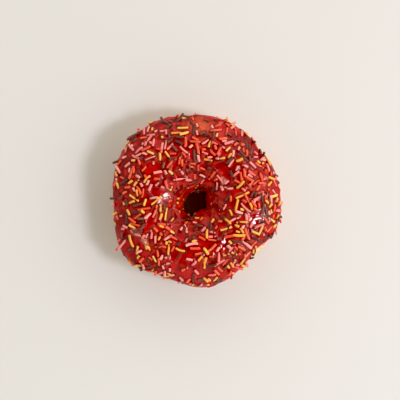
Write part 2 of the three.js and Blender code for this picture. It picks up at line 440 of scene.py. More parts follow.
@dataclass(frozen=True)
class CoatForm:
    """The icing's form over the dough, in millimetres and degrees of sweep.

    Attributes:
        ring: The dough under it.
        clearance: Between the two solids.
        thickness: Of the coat.
        span: Length of the coat over the section.
        hold: How soon its lines straighten away from a wavy edge.
        lip: Width over which an edge rounds down.
        outer_edge: Sweep of its outer edge.
        inner_edge: Sweep of its edge in the hole.
        outer_waves: Waves of the outer edge.
        inner_waves: Waves of the edge in the hole.
    """

    ring: RingForm
    clearance: float = 0.45
    thickness: float = 1.15
    span: float = 50
    hold: int = 3
    lip: float = 2
    outer_edge: float = 3
    inner_edge: float = 171
    outer_waves: tuple[Wave, ...] = (
        Wave(3, 3, 100),
        Wave(5, 2.5, 20),
        Wave(8, 2.5, 50),
        Wave(13, 1.5, 10),
    )
    inner_waves: tuple[Wave, ...] = (Wave(3, 4, 70), Wave(5, 3, 150))

    def outer(self, turn: Array) -> Array:
        """Gives the sweep of the outer edge, in radians."""
        rise = sum(edge.rise * edge.share(turn) for edge in BARE_EDGES)
        return np.radians(self.outer_edge + wave_sum(self.outer_waves, turn) + rise)

    def inner(self, turn: Array) -> Array:
        """Gives the sweep of the edge in the hole, in radians."""
        return np.radians(self.inner_edge + wave_sum(self.inner_waves, turn))

    def sweep(self, turn: Array, share: Array) -> Array:
        """Finds the place at a share of the way from the outer to the inner edge.

        Args:
            turn: Where round the ring, in radians.
            share: The share of the way.

        Returns:
            Its sweep, in radians.
        """
        outer = self.outer(turn) - math.radians(self.outer_edge)
        inner = self.inner(turn) - math.radians(self.inner_edge)
        return (
            np.radians(mix(self.outer_edge, self.inner_edge, share))
            + outer * (1 - share) ** self.hold
            + inner * share**self.hold
        )

    def from_edge(self, turn: Array, sweep: Array) -> Array:
        """Gives the distance to the nearer edge, in millimetres."""
        radius = self.span / math.radians(self.inner_edge - self.outer_edge)
        return radius * np.minimum(sweep - self.outer(turn), self.inner(turn) - sweep)

    def top(self, turn: Array, sweep: Array) -> Array:
        """Gives the height of the coat's top over the dough."""
        climb = 1 - np.clip(self.from_edge(turn, sweep) / self.lip, 0, 1)
        return self.clearance + self.thickness * np.sqrt(1 - climb * climb)


@dataclass(frozen=True)
class Patch:
    """A round place on plan, in millimetres.

    Attributes:
        x: Its middle, along X.
        y: Its middle, along Y.
        radius: Its radius.
        strength: How strong its effect is at the middle.
    """

    x: float
    y: float
    radius: float
    strength: float

    def away(self, points: Array) -> Array:
        """Gives how far points are from its middle, where 1 is its radius."""
        return np.hypot(points[..., 0] - self.x, points[..., 1] - self.y) / self.radius

    def share(self, points: Array, sharpness: int = 2) -> Array:
        """Gives its effect at points, which a higher sharpness cuts off sooner."""
        return self.strength * np.exp(-(self.away(points) ** sharpness))


# ---- Where the sugar strands lie ----


@dataclass(frozen=True)
class Strand:
    """A strand in place.

    Attributes:
        axis: The start, middle and end of its axis.
        length: Its length.
        points: Points along its axis, close enough to test for touching.
    """

    axis: Array
    length: float
    points: Array


def axis_points(axis: Array, share: Array) -> Array:
    """Gives points on a strand's axis, a parabola through its start, middle and end.

    Args:
        axis: The start, middle and end.
        share: Shares of the way along.

    Returns:
        The points.
    """
    start, middle, end = axis
    along = share[:, np.newaxis]
    bow = middle - mix(start, end, 0.5)
    return mix(start, end, along) + bow * (4 * along * (1 - along))


@dataclass(frozen=True)
class Scatter:
    """How one lot of strands is scattered.

    Attributes:
        count: Strands dropped.
        longest: Longest strand.
        shortest: Shortest strand.
        shortness: 1 spreads the lengths evenly, and less shortens them.
        tries: Places tried for each strand.
        stay: Chance that a strand stays on level icing.
        thick_from: Radius inside which fewer and fewer stay.
        thinning: How fast they thin out towards the hole.
        steep_loss: How fast they thin out on steep icing.
        patches: Places with more or fewer strands.
        patch_sharpness: How sharp the edges of those places are.
    """

    count: int
    longest: float
    shortest: float
    shortness: float
    tries: int
    stay: float
    thick_from: float
    thinning: float
    steep_loss: float
    patches: tuple[Patch, ...]
    patch_sharpness: int = 4

    def length(self, number: int) -> float:
        """Gives the length of a strand by its number, the longest first."""
        return mix(self.longest, self.shortest, ((number + 0.5) / self.count) ** self.shortness)

    def staying(self, middle: Array, upright: float) -> float:
        """Gives how likely a strand is to stay where it falls.

        Args:
            middle: Where its middle falls.
            upright: How level the icing is there, 1 where it is flat.

        Returns:
            The chance.
        """
        spread = min(1, math.hypot(middle[0], middle[1]) / self.thick_from) ** self.thinning
        chance = self.stay * spread * upright**self.steep_loss
        for patch in self.patches:
            chance *= 1 + patch.share(middle, self.patch_sharpness)
        return chance


SPARSE_PLACES = (
    Patch(3, 38.5, 6.5, -0.97),
    Patch(-8.5, -34, 7.5, -0.95),
    Patch(-25, -11.5, 5, -0.9),
    Patch(31, -8.5, 3.6, -0.97),
    Patch(-17.8, 3.5, 3.2, -0.95),
    Patch(-4, -27.5, 3.5, -0.8),
)

STRAND_SCATTER = Scatter(
    count=900,
    longest=9,
    shortest=1.9,
    shortness=0.27,
    tries=12,
    stay=0.56,
    thick_from=29,
    thinning=2.8,
    steep_loss=2,
    patches=(
        *SPARSE_PLACES,
        Patch(-11.5, 5, 4, -0.75),
        Patch(-22, 16, 4.5, -0.85),
        Patch(15, 16.5, 5.5, -0.95),
        Patch(-34.5, -22, 4, -0.75),
        Patch(-40, -0.5, 4, -0.8),
        Patch(8, -21, 3, -0.6),
        Patch(9, -1.5, 6, -0.85),
        Patch(13.6, -22, 2.8, -0.9),
        Patch(0, 9, 4, 2),
        Patch(29, -5, 9, 0.7),
        Patch(36, -19, 5, 0.5),
        Patch(-11, 31, 6, 0.8),
        Patch(36, 17, 5, 0.5),
    ),
)

BIT_SCATTER = Scatter(
    count=800,
    longest=3.3,
    shortest=1.3,
    shortness=0.8,
    tries=5,
    stay=0.15,
    thick_from=33,
    thinning=1.3,
    steep_loss=0,
    patches=(
        *SPARSE_PLACES,
        Patch(15, 16.5, 5.5, -0.9),
        Patch(-22, 16, 4.5, -0.8),
        Patch(9, -1.5, 5, -0.7),
        Patch(13.6, -22, 2.8, -0.95),
        Patch(-1.5, 9, 5, 7),
        Patch(-2, -11, 4.5, 3),
        Patch(-9, 41, 6.5, 3),
        Patch(14, 40, 5, 2),
        Patch(-41, 8, 6, 2),
    ),
)


@dataclass
class StrandLayout:
    """Where the sugar strands lie. The longest come first, as their solids do.

    Attributes:
        ring: The dough's form.
        coat: The icing's form.
        radius: Of a strand.
        scatters: The lots of strands, one after another.
        bow: Most that a strand is bent sideways, as a share of its length.
        sit: Height of a strand's axis over the icing.
        apart: Closest that two axes come.
        spacing: Of the points tested for touching.
        margin: Degrees of sweep kept clear inside each edge.
        highest: Level that none stands above.
        climb_from: Least share of a strand before it crosses another.
        climb_dip: How far its low end sinks in.
        stand_below: Sweep below which strands stand off, in degrees.
        stand_off: Most that an end stands off.
        stay_waves: Waves round the ring of the chance that a strand stays.
        fused: How many of the longest the solid has, which all stay.
        clearings: Places where the icing shines bare, and only fused strands lie.
        seed: Of the random numbers.
    """

    ring: RingForm
    coat: CoatForm
    radius: float = 0.66
    scatters: tuple[Scatter, ...] = (STRAND_SCATTER, BIT_SCATTER)
    bow: float = 0.1
    sit: float = 0.22
    apart: float = 1.22
    spacing: float = 0.7
    margin: float = 3.5
    highest: float = 34.2
    climb_from: float = 0.62
    climb_dip: float = 0.35
    stand_below: float = 45
    stand_off: float = 2.6
    stay_waves: tuple[Wave, ...] = (Wave(1, 0.22, 20),)
    fused: int = 160
    clearings: tuple[Patch, ...] = (
        Patch(30.5, -8.5, 3, 1),
        Patch(-17.8, 3.3, 2.2, 1),
        Patch(13.6, -21.5, 2.4, 1),
    )
    seed: int = 7219

    def __post_init__(self) -> None:
        """Starts with nothing laid."""
        self.laid: list[Strand] = []
        self.placed = np.zeros((0, 3))
        self.owners = np.zeros(0, dtype=int)

    def test_points(self, axis: Array, length: float) -> Array:
        """Gives points along an axis, close enough to test for touching."""
        steps = max(2, math.ceil(length / self.spacing))
        return axis_points(axis, np.arange(steps + 1) / steps)

    def touches(self, points: Array, length: float) -> list[float]:
        """Finds the laid strands that a row of points touches.

        Args:
            points: The row.
            length: Its length.

        Returns:
            For each such strand, in the order laid, how far along the row it is
            nearest, as a share.
        """
        middle = points[len(points) // 2]
        reach = length + self.apart
        near = np.linalg.norm(self.placed - middle, axis=1) < reach
        owners = self.owners[near]
        apart = np.linalg.norm(points[:, np.newaxis] - self.placed[near], axis=2)
        places = []
        for owner in np.unique(owners[(apart < self.apart).any(axis=0)]):
            own = apart[:, owners == owner]
            row = np.unravel_index(own.argmin(), own.shape)[0]
            places.append(row / (len(points) - 1))
        return places

    def on_icing(self, points: Array, rise: Array) -> Array | None:
        """Sets points on the icing, a rise above where a strand's axis rests.

        Args:
            points: Points near the icing.
            rise: The rise of each.

        Returns:
            The points, or None where one is off the coat.
        """
        turn, sweep = self.ring.coordinates(points)
        margin = math.radians(self.margin)
        if (sweep < self.coat.outer(turn) + margin).any():
            return None
        if (sweep > self.coat.inner(turn) - margin).any():
            return None
        lift = self.coat.top(turn, sweep) + self.sit + rise
        return self.ring.surface(turn, sweep, lift)

    def settle(self, points: Array, length: float, stand: float) -> Strand | None:
        """Sets a strand down, over one other at most that lies there.

        Args:
            points: Its start, middle and end, near the icing.
            length: Its length.
            stand: How far its end stands off.

        Returns:
            The strand, or None where there is no room.
        """
        leaning = np.array([-self.climb_dip, (stand - self.climb_dip) / 2, stand])
        axis = self.on_icing(points, leaning if stand > 0 else np.zeros(3))
        if axis is None:
            return None
        row = self.test_points(axis, length)
        places = self.touches(row, length)
        if places:
            share = max(places[0], 1 - places[0])
            if len(places) > 1 or share < self.climb_from:
                return None
            high = (self.apart + self.climb_dip) / share - self.climb_dip
            rise = np.array([-self.climb_dip, (high - self.climb_dip) / 2, high])
            axis = self.on_icing(points, rise if places[0] > 0.5 else rise[::-1])
            row = self.test_points(axis, length)
            if self.touches(row, length):
                return None
        if axis[:, 2].max() + self.radius > self.highest:
            return None
        return Strand(axis, length, row)

    def drop(self, draw: Draw, scatter: Scatter, length: float) -> Strand | None:
        """Drops a strand on the icing. Six numbers are drawn, whatever comes of it.

        Args:
            draw: The random numbers.
            scatter: The lot that it belongs to.
            length: The strand's length.

        Returns:
            The strand, or None where it can't stay.
        """
        turn = np.float64(TAU * draw())
        share = draw()
        angle = TAU * draw()
        chance = draw()
        bow = self.bow * (2 * draw() - 1) ** 3
        lean = draw() ** 2
        sweep = self.coat.sweep(turn, share)
        middle = self.ring.surface(turn, sweep, self.coat.top(turn, sweep))
        around, upward, out = self.ring.directions(turn, sweep)
        if chance > scatter.staying(middle, out[2]) * (1 + wave_sum(self.stay_waves, turn)):
            return None
        along = around * math.cos(angle) + upward * math.sin(angle)
        aside = upward * math.cos(angle) - around * math.sin(angle)
        points = [
            middle - along * length / 2,
            middle + aside * bow * length,
            middle + along * length / 2,
        ]
        stand = self.stand_off * lean if sweep < math.radians(self.stand_below) else 0.0
        return self.settle(np.array(points), length, stand)

    def keep(self, strand: Strand) -> None:
        """Keeps a strand, so that later ones are tested against it.

        Args:
            strand: The strand in place.
        """
        owners = np.full(len(strand.points), len(self.laid))
        self.laid.append(strand)
        self.placed = np.concatenate([self.placed, strand.points])
        self.owners = np.concatenate([self.owners, owners])

    def cleared(self, strand: Strand) -> bool:
        """Tells whether a strand reaches into a clearing."""
        return any(place.away(strand.points).min() < 1 for place in self.clearings)

    def lay(self) -> list[Strand]:
        """Lays all the strands, lot by lot.

        Returns:
            The fused ones, and those of the rest that lie outside the clearings.
        """
        draw = Draw(self.seed)
        for scatter in self.scatters:
            for number in range(scatter.count):
                length = scatter.length(number)
                for _ in range(scatter.tries):
                    strand = self.drop(draw, scatter, length)
                    if strand is not None:
                        self.keep(strand)
                        break
        small = [strand for strand in self.laid[self.fused :] if not self.cleared(strand)]
        return self.laid[: self.fused] + small


# ---- Finishes ----


class Bench:
    """Puts nodes together in one tree."""

    def __init__(self, tree: bpy.types.NodeTree) -> None:
        """Takes the tree to work in."""
        self.tree = tree

    def node(self, kind: str, **settings: object) -> bpy.types.Node:
        """Adds a node.

        Args:
            kind: Its type.
            settings: Its properties.

        Returns:
            The node.
        """
        node = self.tree.nodes.new(kind)
        for name, value in settings.items():
            setattr(node, name, value)
        return node

    def feed(self, socket: Socket, value: Socket | Sequence[float] | float) -> None:
        """Links a socket to another one, or sets it to a value.

        Args:
            socket: The socket that is fed.
            value: Another node's socket, a colour, a direction or a number.
        """
        if isinstance(value, Socket):
            self.tree.links.new(value, socket)
        else:
            socket.default_value = value

    def reckon(self, operation: str, *values: Socket | float) -> Socket:
        """Works out a number.

        Args:
            operation: The operation, by Blender's name for it.
            values: The numbers that it works on.

        Returns:
            The number.
        """
        node = self.node("ShaderNodeMath", operation=operation)
        for socket, value in zip(node.inputs, values):
            self.feed(socket, value)
        return node.outputs[0]

    def spread(
        self, source: Socket, start: float, stop: float, low: float = 0, high: float = 1
    ) -> Socket:
        """Maps a number from one range to another, and holds it there.

        Args:
            source: The number.
            start: Where its range starts.
            stop: Where its range stops.
            low: What start becomes.
            high: What stop becomes.

        Returns:
            The mapped number.
        """
        node = self.node("ShaderNodeMapRange", interpolation_type="SMOOTHSTEP")
        self.feed(node.inputs["Value"], source)
        self.feed(node.inputs["From Min"], start)
        self.feed(node.inputs["From Max"], stop)
        self.feed(node.inputs["To Min"], low)
        self.feed(node.inputs["To Max"], high)
        return node.outputs["Result"]


class Recipe(Bench):
    """Puts one material's nodes together."""

    def __init__(self, name: str) -> None:
        """Starts a material with its shader.

        Args:
            name: The material's name.
        """
        self.material = bpy.data.materials.new(name)
        self.material.use_nodes = True
        super().__init__(self.material.node_tree)
        self.shader = self.tree.nodes["Principled BSDF"]

    def fixed(self, **values: object) -> None:
        """Sets the shader's own sockets, named with _ for a space."""
        for name, value in values.items():
            self.shader.inputs[name.replace("_", " ")].default_value = value

    def attribute(self, name: str) -> Socket:
        """Reads a number stored on the mesh."""
        return self.node("ShaderNodeAttribute", attribute_name=name).outputs["Fac"]

    def grain(self, size: float, detail: float = 3, roughness: float = 0.5) -> Socket:
        """Adds noise fixed to the piece.

        Args:
            size: Width of a lump, in millimetres.
            detail: Finer octaves.
            roughness: How strong they are.

        Returns:
            The noise, about 0.3 to 0.7.
        """
        texture = self.node("ShaderNodeTexNoise")
        self.feed(texture.inputs["Vector"], self.node("ShaderNodeTexCoord").outputs["Object"])
        self.feed(texture.inputs["Scale"], 1 / (size * MM))
        self.feed(texture.inputs["Detail"], detail)
        self.feed(texture.inputs["Roughness"], roughness)
        return texture.outputs["Fac"]

    def blend(self, share: Socket, first: Socket | Colour, second: Socket | Colour) -> Socket:
        """Mixes two colours.

        Args:
            share: How much of the second there is.
            first: A colour or a socket.
            second: A colour or a socket.

        Returns:
            The mixed colour.
        """
        node = self.node("ShaderNodeMix", data_type="RGBA")
        self.feed(node.inputs[MIX_SHARE], share)
        self.feed(node.inputs[MIX_FIRST], first)
        self.feed(node.inputs[MIX_SECOND], second)
        return node.outputs[MIX_RESULT]

    def relief(self, height: Socket, depth: float) -> None:
        """Roughens the surface.

        Args:
            height: The height, from 0 to 1.
            depth: What 1 stands for, in millimetres.
        """
        bump = self.node("ShaderNodeBump")
        self.feed(bump.inputs["Distance"], depth * MM)
        self.feed(bump.inputs["Height"], height)
        self.feed(self.shader.inputs["Normal"], bump.outputs["Normal"])

    def finish(self, colour: Socket) -> bpy.types.Material:
        """Puts the colour on the shader and gives the material."""
        self.feed(self.shader.inputs["Base Color"], colour)
        return self.material


@dataclass(frozen=True)
class DoughFinish:
    """Fried dough: browned crust, with a pale line where it floated in the oil.

    Sizes and depths are in millimetres.

    Attributes:
        pale: The pale line.
        straw: Its warmer tone.
        golden: Lightly browned crust.
        brown: Well browned crust.
        crust_size: Width of a golden or brown place.
        line_size: Width of a pale or straw place.
        ragged: How ragged the pale line's edges are, in shares of their width.
        ragged_size: Width of their teeth.
        freckle_size: Width of a brown freckle.
        pore_size: Width of a pore.
        pore_depth: Its depth.
        roughness: Of the surface.
    """

    pale: Colour = paint(248, 214, 166)
    straw: Colour = paint(228, 178, 118)
    golden: Colour = paint(216, 148, 80)
    brown: Colour = paint(168, 94, 42)
    crust_size: float = 7
    line_size: float = 3.2
    ragged: float = 0.9
    ragged_size: float = 2.2
    freckle_size: float = 0.9
    pore_size: float = 0.8
    pore_depth: float = 0.12
    roughness: float = 0.62

    def material(self) -> bpy.types.Material:
        """Makes the material, which reads the attribute browned, 0 where pale, to 1.

        Returns:
            The material.
        """
        recipe = Recipe("fried_dough")
        browning = recipe.grain(self.crust_size, detail=5, roughness=0.6)
        crust = recipe.blend(recipe.spread(browning, 0.35, 0.66), self.golden, self.brown)
        warmth = recipe.grain(self.line_size, detail=4, roughness=0.62)
        line = recipe.blend(recipe.spread(warmth, 0.36, 0.68), self.pale, self.straw)
        teeth = recipe.grain(self.ragged_size, detail=5, roughness=0.65)
        wobble = recipe.reckon("MULTIPLY_ADD", teeth, self.ragged, -self.ragged / 2)
        browned = recipe.reckon("ADD", recipe.attribute("browned"), wobble)
        colour = recipe.blend(recipe.spread(browned, 0.15, 0.85), line, crust)
        freckle = recipe.grain(self.freckle_size, detail=2)
        colour = recipe.blend(recipe.spread(freckle, 0.58, 0.7, high=0.35), colour, self.brown)
        pores = recipe.grain(self.pore_size, detail=4, roughness=0.6)
        recipe.relief(pores, self.pore_depth)
        recipe.fixed(
            Roughness=self.roughness,
            Subsurface_Weight=0.12,
            Subsurface_Radius=(1.0, 0.55, 0.25),
            Subsurface_Scale=0.0015,
            Specular_IOR_Level=0.4,
        )
        return recipe.finish(colour)


@dataclass(frozen=True)
class IcingFinish:
    """Set glaze icing: deep red, glossy, and orange where it is thin.

    Sizes and depths are in millimetres.

    Attributes:
        deep: Its colour where it lies thick.
        bright: Its colour between.
        thin: Its colour where the dough shows through.
        smear: Its colour where pink strands have melted into it.
        pooled_and_shaded: Its colour where it pools against strands: a deeper red, made darker
            still as painted shade where the strands would shade it.
        film: Its colour where it is only a film over pale dough.
        cloud_size: Width of a deep or bright place.
        thin_size: Width of a spot where it is thin.
        streak_size: Width of a streak in a smear.
        dent_size: Width of a dent.
        dent_depth: Its depth.
        roughness: Of the surface.
        gloss: How much it mirrors head on, where 0.5 is the usual.
        side_gloss: How much it mirrors when seen at a slant.
        wet_gloss: How much more it mirrors where it is wet.
    """

    deep: Colour = paint(138, 12, 16)
    bright: Colour = paint(194, 28, 28)
    thin: Colour = paint(206, 84, 46)
    smear: Colour = paint(232, 148, 132)
    pooled_and_shaded: Colour = paint(108, 6, 4)
    film: Colour = paint(244, 196, 146)
    cloud_size: float = 6
    thin_size: float = 3
    streak_size: float = 1.1
    dent_size: float = 0.9
    dent_depth: float = 0.05
    roughness: float = 0.06
    gloss: float = 0.28
    side_gloss: float = 0.05
    wet_gloss: float = 0.8

    def material(self) -> bpy.types.Material:
        """Makes the material, which reads the attributes that the icing marks.

        Returns:
            The material.
        """
        recipe = Recipe("red_icing")
        cloud = recipe.spread(recipe.grain(self.cloud_size), 0.35, 0.65)
        colour = recipe.blend(cloud, self.deep, self.bright)
        spots = recipe.spread(recipe.grain(self.thin_size), 0.35, 0.65, low=0.6)
        thinness = recipe.reckon("MULTIPLY", recipe.attribute("thin"), spots)
        colour = recipe.blend(thinness, colour, self.thin)
        colour = recipe.blend(recipe.attribute("bare"), colour, self.film)
        # Painted shade: beside and between strands the red is darkened, partly for the thicker
        # pooled icing, partly standing in for the shade that the strands cast.
        pool_and_shade = recipe.spread(recipe.attribute("pool_and_shade"), 0.05, 0.85, high=0.8)
        colour = recipe.blend(pool_and_shade, colour, self.pooled_and_shaded)
        streaks = recipe.grain(self.streak_size, roughness=0.6)
        streaks = recipe.spread(streaks, 0.38, 0.6, low=0.25)
        melted = recipe.reckon("MULTIPLY", recipe.attribute("smear"), streaks)
        colour = recipe.blend(melted, colour, self.smear)
        recipe.relief(recipe.grain(self.dent_size, detail=2), self.dent_depth)
        slant = recipe.node("ShaderNodeLayerWeight").outputs["Facing"]
        gloss = recipe.spread(slant, 0.1, 0.6, self.gloss, self.side_gloss)
        gloss = recipe.reckon("MULTIPLY_ADD", recipe.attribute("wet"), self.wet_gloss, gloss)
        recipe.feed(recipe.shader.inputs["Specular IOR Level"], gloss)
        recipe.fixed(
            Roughness=self.roughness,
            Subsurface_Weight=0.1,
            Subsurface_Radius=(1.0, 0.2, 0.1),
            Subsurface_Scale=0.001,
        )
        return recipe.finish(colour)


@dataclass(frozen=True)
class SugarFinish:
    """One colour of sugar strand, stained by the icing where it sinks in.

    Attributes:
        slot: The record's slot that holds the colour.
        pale: Its palest tone.
        full: Its fullest tone.
        stain: Its tone where the icing has wetted it.
        share: How common it is.
        long_taste: Above 0 where the long strands have this colour more often.
        roughness: Of the surface.
        speck_size: Width of a fuller speck, in millimetres.
        grit_size: Width of a grain of sugar, in millimetres.
        grit_depth: How far it stands out, in millimetres.
    """

    slot: str
    pale: Colour
    full: Colour
    stain: Colour
    share: float
    long_taste: float = 0.0
    roughness: float = 0.36
    speck_size: float = 0.5
    grit_size: float = 0.35
    grit_depth: float = 0.05

    def material(self) -> bpy.types.Material:
        """Makes the material, which reads the attributes tone and sunk, 0 to 1.

        Returns:
            The material.
        """
        recipe = Recipe(self.slot)
        colour = recipe.blend(recipe.attribute("tone"), self.pale, self.full)
        specks = recipe.grain(self.speck_size, roughness=0.6)
        specks = recipe.spread(specks, 0.35, 0.7, low=0.25, high=0)
        colour = recipe.blend(specks, colour, self.full)
        wet = recipe.spread(recipe.attribute("sunk"), 0.25, 0.95)
        colour = recipe.blend(wet, colour, self.stain)
        recipe.relief(recipe.grain(self.grit_size, roughness=0.6), self.grit_depth)
        recipe.fixed(
            Roughness=self.roughness,
            Subsurface_Weight=0.1,
            Subsurface_Radius=(1.0, 0.6, 0.4),
            Subsurface_Scale=0.0005,
        )
        return recipe.finish(colour)


class Sugar(Enum):
    """The colours that sugar strands come in."""

    PINK = "pink"
    ORANGE = "orange"
    YELLOW = "yellow"
    BROWN = "brown"


SUGAR_FINISHES = {
    Sugar.PINK: SugarFinish(
        slot="pink_strands",
        pale=paint(255, 180, 170),
        full=paint(255, 126, 122),
        stain=paint(170, 24, 18),
        share=0.3,
    ),
    Sugar.ORANGE: SugarFinish(
        slot="orange_strands",
        pale=paint(255, 112, 70),
        full=paint(240, 74, 42),
        stain=paint(160, 16, 8),
        share=0.29,
        long_taste=0.6,
    ),
    Sugar.YELLOW: SugarFinish(
        slot="yellow_strands",
        pale=paint(255, 206, 102),
        full=paint(255, 168, 60),
        stain=paint(190, 60, 14),
        share=0.22,
    ),
    Sugar.BROWN: SugarFinish(
        slot="brown_strands",
        pale=paint(130, 72, 52),
        full=paint(80, 34, 24),
        stain=paint(64, 6, 4),
        share=0.19,
        roughness=0.34,
    ),
}

COLOUR_CLUSTERS = {
    Sugar.BROWN: (
        Patch(-15, 39.4, 6, 4),
        Patch(-11.6, 31.3, 3.5, 4),
        Patch(28.6, 30.6, 4, 4),
        Patch(25.2, 23.1, 4, 4),
        Patch(20.4, 12.8, 4, 4),
        Patch(-4.1, -11.7, 4, 4),
        Patch(-11, -26.8, 3, 4),
        Patch(11.6, -34.3, 4, 4),
        Patch(-41.7, 2.6, 4, 3),
        Patch(-41.7, -10.4, 3.5, 3),
        Patch(-29.4, -12.4, 3, 4),
    ),
    Sugar.YELLOW: (
        Patch(-6.9, 33.3, 3.5, 5),
        Patch(19.8, -13.8, 5, 3),
        Patch(-16.4, -22, 3, 4),
    ),
    Sugar.PINK: (
        Patch(-23.2, 34, 5, 4),
        Patch(-31.4, 29.9, 5, 4),
        Patch(22.5, -4.9, 4, 3),
        Patch(-26.6, -19.9, 3.5, 4),
        Patch(14.3, 9.4, 2.5, 4),
    ),
    Sugar.ORANGE: (
        Patch(27.9, 9.4, 5, 3),
        Patch(-26, 1.2, 4, 3),
        Patch(-11.6, 23, 4, 3),
        Patch(11.6, 30.6, 4, 3),
    ),
}


# ---- Pieces ----


@dataclass
class DoughRing:
    """The fried dough ring, which replaces its solid.

    Attributes:
        form: Its form.
        finish: Its finish.
        rows: Points round the section.
        columns: Points round the ring.
        dimple: Depth of the large unevenness, in millimetres.
        dimple_size: Width of a dimple, in millimetres.
        pucker: Depth of the small unevenness, in millimetres.
        pucker_size: Width of a pucker, in millimetres.
        pale_middle: Sweep of the pale line's middle, in degrees.
        pale_width: Half width of the pale line, in degrees.
        pale_core: Share of that half width that is all pale.
        pale_waves: Waves of the pale line's middle, in degrees.
        bare_climb: How much higher the pale line is at a bare edge, in degrees.
    """

    form: RingForm
    finish: DoughFinish
    rows: int = 176
    columns: int = 480
    dimple: float = 0.22
    dimple_size: float = 6
    pucker: float = 0.07
    pucker_size: float = 1.3
    pale_middle: float = 6
    pale_width: float = 13
    pale_core: float = 0.5
    pale_waves: tuple[Wave, ...] = (Wave(3, 2, 30), Wave(7, 1.5, 10))
    bare_climb: float = 9

    def build(self) -> bpy.types.Object:
        """Makes the ring, with its base flat on the table.

        Returns:
            The piece.
        """
        sweep = (np.arange(self.rows) / self.rows * TAU)[:, np.newaxis]
        turn = (np.arange(self.columns) / self.columns * TAU)[np.newaxis]
        sweep, turn = np.broadcast_arrays(sweep, turn)
        even = self.form.even_surface(turn, sweep)
        relief = self.dimple * crumple(even, self.dimple_size, seed=3.7)
        relief = relief + self.pucker * crumple(even, self.pucker_size, seed=9.1)
        points = self.form.surface(turn, sweep, relief)
        points[..., 2] = np.maximum(points[..., 2], 0)
        piece = make_piece(
            "dough_ring_baked",
            points.reshape(-1, 3),
            closed_grid(self.rows, self.columns),
            self.finish.material(),
        )
        mark(piece, "browned", self.browned(turn, sweep))
        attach(piece, "root")
        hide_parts("dough_ring")
        return piece

    def browned(self, turn: Array, sweep: Array) -> Array:
        """Gives how brown the crust is: little on the pale line, all the way off it.

        Args:
            turn: Where round the ring, in radians.
            sweep: Where round the section, in radians.

        Returns:
            0 where it is pale, to 1.
        """
        climb = self.bare_climb * sum(place.share(turn) for place in BARE_EDGES)
        middle = self.pale_middle + wave_sum(self.pale_waves, turn) + climb
        level = np.degrees(np.arctan2(np.sin(sweep), np.cos(sweep)))
        away = np.abs(level - middle) / (self.pale_width + climb)
        return smooth(away - self.pale_core)


